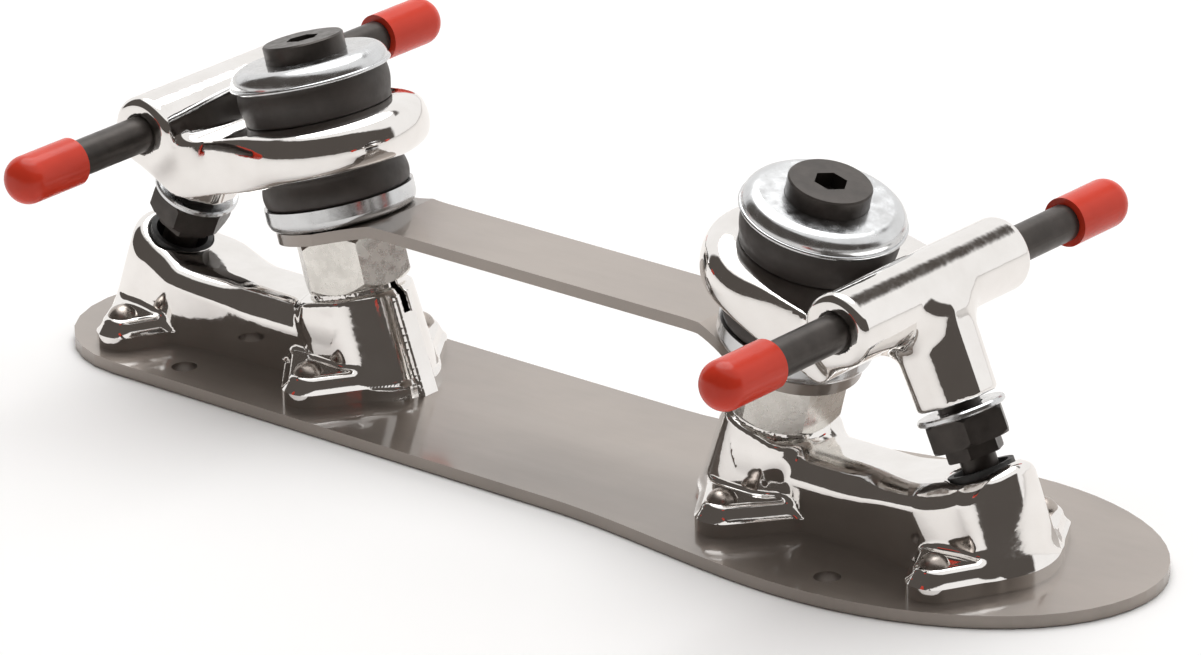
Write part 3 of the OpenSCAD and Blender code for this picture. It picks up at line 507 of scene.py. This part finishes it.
# Plainer finishes: clouds of two tones, the roughness and its noise, and a fine grain with its bump.
# A noise is a scale and a detail, and a bump is a strength and a depth in metres
CLOUDED = {
    "rivet_steel": dict(metallic=1.0, light=(0.50, 0.45, 0.41), dark=(0.38, 0.34, 0.31), cloud=(260, 5),
                        gloss=(700, 4), roughness=(0.24, 0.36), grain=(1200, 4), bump=(0.15, 0.00008)),
    "zinc": dict(metallic=1.0, light=(0.72, 0.735, 0.75), dark=(0.63, 0.64, 0.65), cloud=(180, 5),
                 gloss=(420, 5), roughness=(0.12, 0.30), grain=(1500, 4), bump=(0.12, 0.00006)),
    "nut_plating": dict(metallic=1.0, light=(0.86, 0.84, 0.80), dark=(0.72, 0.70, 0.66),
                        cloud=(160, 6, (1, 1, 1), 0.65), gloss=(500, 5), roughness=(0.20, 0.34),
                        grain=(900, 5), bump=(0.22, 0.0001)),
    "black_oxide": dict(metallic=0.55, light=(0.070, 0.060, 0.054), dark=(0.044, 0.038, 0.034),
                        cloud=(240, 5), gloss=(600, 4), roughness=(0.28, 0.42), grain=(1400, 4),
                        bump=(0.15, 0.00008)),
    "rubber": dict(metallic=0.0, light=(0.066, 0.055, 0.049), dark=(0.046, 0.038, 0.034), cloud=(200, 5),
                   gloss=(500, 4), roughness=(0.42, 0.58), grain=(1100, 5), bump=(0.22, 0.0001)),
    "red_vinyl": dict(metallic=0.0, light=(0.71, 0.054, 0.027), dark=(0.63, 0.044, 0.021), cloud=(90, 3),
                      gloss=(400, 3), roughness=(0.16, 0.24), grain=(240, 2), bump=(0.04, 0.0002),
                      specular=0.28),
    "cup_plastic": dict(metallic=0.0, light=(0.03, 0.03, 0.03), dark=(0.018, 0.018, 0.018), cloud=(300, 4),
                        gloss=(600, 3), roughness=(0.4, 0.6), grain=(1500, 3), bump=(0.15, 0.00008)),
}


def clouded(name, metallic, light, dark, cloud, gloss, roughness, grain, bump, specular=None):
    f = Finish(name)
    f.set("Metallic", metallic)
    f.set("Base Color", f.mix(f.spread(f.noise(*cloud), 0, 1), colour(*light), colour(*dark)))
    f.set("Roughness", f.spread(f.noise(*gloss), *roughness))
    if specular is not None:
        f.set("Specular IOR Level", specular)
    f.set("Normal", f.bump(f.noise(*grain), *bump))
    return f.material


FINISHES = {name: clouded(name, **look) for name, look in CLOUDED.items()}
FINISHES["chrome"] = chrome()
for sheet in ("plate_steel", "strap_steel"):
    FINISHES[sheet] = rolled_steel(sheet)
NODE_FINISH = {
    "sole_plate": "plate_steel", "brace_strap": "strap_steel", "base": "chrome", "rivets": "rivet_steel",
    "king_bolt": "black_oxide", "king_nut": "nut_plating", "upper_retainer": "zinc",
    "upper_cushion": "rubber", "lower_cushion": "rubber", "lower_retainer": "zinc", "truck": "chrome",
    "axle": "black_oxide", "axle_cap": "red_vinyl", "pivot_pin": "black_oxide",
    "pivot_lock_nut": "black_oxide", "pivot_washer": "zinc", "pivot_cup": "cup_plastic",
}
for node_name, node_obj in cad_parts.items():
    kind = node_name
    for place in ("front_", "rear_", "left_", "right_"):
        kind = kind.removeprefix(place)
    node_obj.data.materials.clear()
    node_obj.data.materials.append(FINISHES[NODE_FINISH[kind]])

# Castings
GRID = 0.45
for node, field in (("truck", truck_field), ("base", base_field)):
    low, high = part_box("front_" + node)
    verts, quads, normals = surface_net(field, np.array(low) / MM, np.array(high) / MM, GRID)
    for end in ENDS:
        body = f"{end}_steering" if node == "truck" else "plate"
        piece(end, f"{node}_casting", verts, quads, body, node, "chrome", normals)

# Upper cups, each with a broad round rim above a thin rolled lip, and a seat for the bolt's head
UPPER_CUP_Z, UPPER_CUP_H, UPPER_CUP_R = 41.1, 3.8, 15.7
CUP_HOLLOW_R, CUP_HOLLOW_H = 14.95, 1.1
HEAD_R, HEAD_SEAT = 7.85, 2.6
CUP_LIP_R = 0.4
CUP_TURNS, LIP_STEPS, RIM_STEPS = 128, 12, 24


def cup_profile():
    """Closed section of an upper cup: hollow for the cushion, lip, rim, flat top and seat."""
    bore, seat_r = BOLT_R + FIT_GAP, HEAD_R + FIT_GAP
    lip_x, rim_z = UPPER_CUP_R - CUP_LIP_R, 2 * CUP_LIP_R
    rim_r = UPPER_CUP_H - rim_z
    hollow = [(bore, CUP_HOLLOW_H), (CUP_HOLLOW_R, CUP_HOLLOW_H), (CUP_HOLLOW_R, 0)]
    lip = arc(lip_x, CUP_LIP_R, CUP_LIP_R, -90, 90, LIP_STEPS)
    rim = arc(lip_x - rim_r, rim_z, rim_r, 0, 90, RIM_STEPS)[1:]
    seat = [(seat_r, UPPER_CUP_H), (seat_r, HEAD_SEAT), (bore, HEAD_SEAT), (bore, CUP_HOLLOW_H)]
    return hollow + lip + rim + seat


verts, faces = lathe([(r, UPPER_CUP_Z + h) for r, h in cup_profile()], CUP_TURNS)
for end in ENDS:
    piece(end, "upper_cup", verts, faces, "plate", "upper_retainer", "zinc")

# Rubber cushions: where each starts along the bolt, its way to the truck, its widest radius,
# its spigot's radius and height, and its height from there to the truck
CUSHIONS = {
    "upper": (42.2, -1, 14.8, 14.65, 1.1, 6.95),
    "lower": (14.7, 1, 14.3, 13.55, 3.0, 5.65),
}
SOFT_GAP = 0.3
CUSHION_ROUND, CUSHION_BULGE, BULGE_LEAD = 0.4, 0.55, 0.1
CUSHION_TURNS, SIDE_STEPS, ROUND_STEPS = 96, 14, 8


def cushion_profile(bulge_r, spigot_r, spigot_h, height):
    """Closed section of a cushion from its cup to the truck, bulged between them."""
    bore = BOLT_R + SOFT_GAP
    top = spigot_h + height
    side = []
    for k in range(1, SIDE_STEPS + 1):
        swell = math.sin(math.pi * min(1, k / SIDE_STEPS + BULGE_LEAD))
        side.append((bulge_r - CUSHION_BULGE + CUSHION_BULGE * swell,
                     spigot_h + (height - CUSHION_ROUND) * k / SIDE_STEPS))
    last = side[-1][0]
    edge = arc(last - CUSHION_ROUND, top - CUSHION_ROUND, CUSHION_ROUND, 0, 90, ROUND_STEPS)[1:]
    return [(bore, 0), (spigot_r, 0), (spigot_r, spigot_h)] + side + edge + [(bore, top), (bore, 0)]


for end in ENDS:
    for which, (start, way, bulge_r, spigot_r, spigot_h, height) in CUSHIONS.items():
        profile = [(r, start + way * h) for r, h in cushion_profile(bulge_r, spigot_r, spigot_h, height)]
        verts, faces = lathe(profile, CUSHION_TURNS)
        if way < 0:
            faces = [f[::-1] for f in faces]
        obj = piece(end, f"{which}_rubber", verts, faces, None, f"{which}_cushion", "rubber")
        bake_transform(obj)

# Stage: a pale floor, paler for the camera than for the light that it throws back
FLOOR_HALF, FLOOR_Z = 4.0, -0.0002
floor_corners = [(x * FLOOR_HALF, y * FLOOR_HALF, FLOOR_Z) for x, y in ((-1, -1), (1, -1), (1, 1), (-1, 1))]
floor_mesh = bpy.data.meshes.new("floor")
floor_mesh.from_pydata(floor_corners, [], [[0, 1, 2, 3]])
floor = bpy.data.objects.new("floor", floor_mesh)
bpy.context.scene.collection.objects.link(floor)
paper = bpy.data.materials.new("floor_paper")
paper.use_nodes = True
paper_nodes, paper_links = paper.node_tree.nodes, paper.node_tree.links
paper_shader = paper_nodes["Principled BSDF"]
paper_light = paper_nodes.new("ShaderNodeLightPath")
paper_tone = paper_nodes.new("ShaderNodeMix")
paper_tone.data_type = "RGBA"
paper_tone.inputs["A"].default_value = colour(0.88, 0.865, 0.85)
paper_tone.inputs["B"].default_value = colour(0.97, 0.97, 0.97)
paper_links.new(paper_light.outputs["Is Camera Ray"], paper_tone.inputs["Factor"])
paper_links.new(paper_tone.outputs["Result"], paper_shader.inputs["Base Color"])
paper_shader.inputs["Roughness"].default_value = 0.9
paper_shader.inputs["Specular IOR Level"].default_value = 0.0
floor_mesh.materials.append(paper)
floor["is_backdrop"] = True

# Camera at the photograph's view, its target and distance in millimetres
AZ, EL, ROLL = math.radians(40.42), math.radians(21.77), math.radians(-1.23)
TARGET = np.array([7.15, 6.09, 23.92])
DISTANCE = 1386.19
IMAGE_W, IMAGE_H = 1201, 655
FOCAL_PX, CENTRE_X, CENTRE_Y = 7420.66, 614.67, 327.59
back = np.array([math.sin(AZ) * math.cos(EL), -math.cos(AZ) * math.cos(EL), math.sin(EL)])
right = np.array([math.cos(AZ), math.sin(AZ), 0.0])
up = np.cross(back, right)
right, up = right * math.cos(ROLL) + up * math.sin(ROLL), up * math.cos(ROLL) - right * math.sin(ROLL)
eye = (TARGET + back * DISTANCE) * MM
camera_data = bpy.data.cameras.new("camera")
camera_data.sensor_width = 36.0
camera_data.lens = FOCAL_PX * camera_data.sensor_width / IMAGE_W
camera_data.shift_x = (IMAGE_W / 2 - CENTRE_X) / IMAGE_W
camera_data.shift_y = (CENTRE_Y - IMAGE_H / 2) / IMAGE_W
camera_data.clip_start, camera_data.clip_end = 0.05, 20.0
camera = bpy.data.objects.new("camera", camera_data)
bpy.context.scene.collection.objects.link(camera)
camera.matrix_world = Matrix([*np.column_stack((right, up, back, eye)).tolist(), (0, 0, 0, 1)])
bpy.context.scene.camera = camera

# Light: a white tent with a dark side, below a ceiling that comes down towards the back. Behind the object
# a dark gap lies between the sweep and the ceiling. Each edge goes from its first value to its second
DARK_WAY, DARK_EDGE = (0.309, -0.951, 0.0), (-0.31, -0.24)
CEILING_WAY, CEILING_EDGE = (0.065, 0.462, 1.0), (0.72, 0.66)
GAP_LOW_EDGE, GAP_HIGH_EDGE, GAP_SIDE_EDGE = (0.61, 0.67), (0.76, 0.70), (0.69, 0.72)
TENT_WHITE, TENT_DARK = colour(0.98, 0.965, 0.95), colour(0.090, 0.079, 0.071)
world = bpy.data.worlds.new("studio")
bpy.context.scene.world = world
world.use_nodes = True
tree = world.node_tree
tree.nodes.clear()


def band(value, low, high):
    made = tree.nodes.new("ShaderNodeMapRange")
    made.interpolation_type = "SMOOTHSTEP"
    made.inputs["From Min"].default_value = low
    made.inputs["From Max"].default_value = high
    tree.links.new(value, made.inputs["Value"])
    return made.outputs["Result"]


def combine(operation, a, b):
    made = tree.nodes.new("ShaderNodeMath")
    made.operation = operation
    tree.links.new(a, made.inputs[0])
    tree.links.new(b, made.inputs[1])
    return made.outputs["Value"]


def along_way(vector, way):
    made = tree.nodes.new("ShaderNodeVectorMath")
    made.operation = "DOT_PRODUCT"
    made.inputs[1].default_value = way
    tree.links.new(vector, made.inputs[0])
    return made.outputs["Value"]


where = tree.nodes.new("ShaderNodeTexCoord").outputs["Generated"]
parts = tree.nodes.new("ShaderNodeSeparateXYZ")
tree.links.new(where, parts.inputs["Vector"])
gap_height = combine("MULTIPLY", band(parts.outputs["Z"], *GAP_LOW_EDGE),
                     band(parts.outputs["Z"], *GAP_HIGH_EDGE))
gap = combine("MULTIPLY", gap_height, band(parts.outputs["Y"], *GAP_SIDE_EDGE))
dark_side = combine("MULTIPLY", band(along_way(where, DARK_WAY), *DARK_EDGE),
                    band(along_way(where, CEILING_WAY), *CEILING_EDGE))
shade = tree.nodes.new("ShaderNodeMix")
shade.data_type = "RGBA"
shade.inputs["A"].default_value = TENT_WHITE
shade.inputs["B"].default_value = TENT_DARK
tree.links.new(combine("MAXIMUM", dark_side, gap), shade.inputs["Factor"])
tent = tree.nodes.new("ShaderNodeBackground")
tree.links.new(shade.outputs["Result"], tent.inputs["Color"])
world_out = tree.nodes.new("ShaderNodeOutputWorld")
tree.links.new(tent.outputs["Background"], world_out.inputs["Surface"])

key = bpy.data.lights.new("overhead", "AREA")
key.shape = "DISK"
key.size = 1.6
key.energy = 16.0
key_obj = bpy.data.objects.new("overhead", key)
bpy.context.scene.collection.objects.link(key_obj)
key_obj.location = (-0.35, 0.45, 1.5)
key_obj.rotation_mode = "QUATERNION"
key_obj.rotation_quaternion = (-Vector(key_obj.location)).to_track_quat("-Z", "Y")
key_obj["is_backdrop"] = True

bpy.context.scene.view_settings.view_transform = "Standard"

bpy.context.view_layer.update()
low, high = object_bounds()
